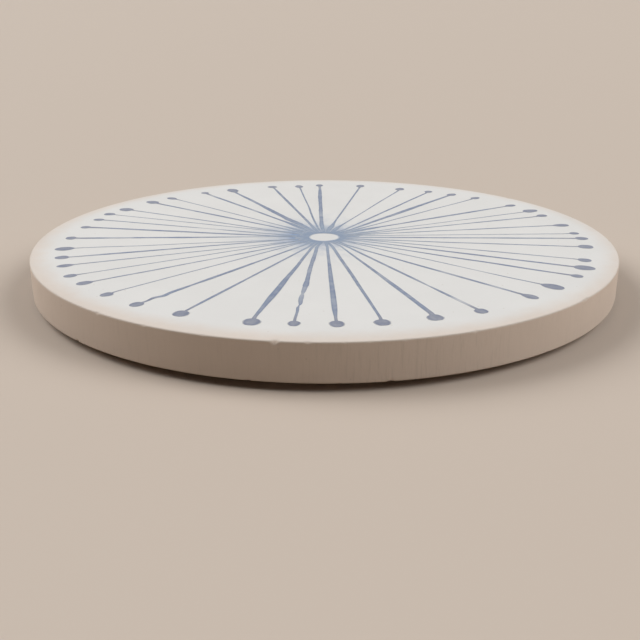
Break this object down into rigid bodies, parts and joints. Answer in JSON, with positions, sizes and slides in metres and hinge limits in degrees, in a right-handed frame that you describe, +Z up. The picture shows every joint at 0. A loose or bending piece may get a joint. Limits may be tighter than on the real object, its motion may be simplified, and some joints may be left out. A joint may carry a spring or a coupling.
{
  "type": "drink coaster",
  "caption": "Round absorbent ceramic drink coaster with an inked starburst on its top face, standing on a cork pad set in from its edge.",
  "frame": {"origin": "middle of the cork pad's underside, on the table", "axes": "+Z up, square to the top face; -Y is the front that faces the camera, +X is to its right"},
  "size_m": [0.1016, 0.1016, 0.007],
  "materials": {
    "cork": "matte",
    "adhesive": "satin",
    "ceramic": "matte",
    "ink": "matte"
  },
  "bodies": {
    "root": {"cork_pad": "cork", "adhesive_film": "adhesive", "ceramic_disc": "ceramic", "printed_starburst": "ink"}
  },
  "joints": []
}
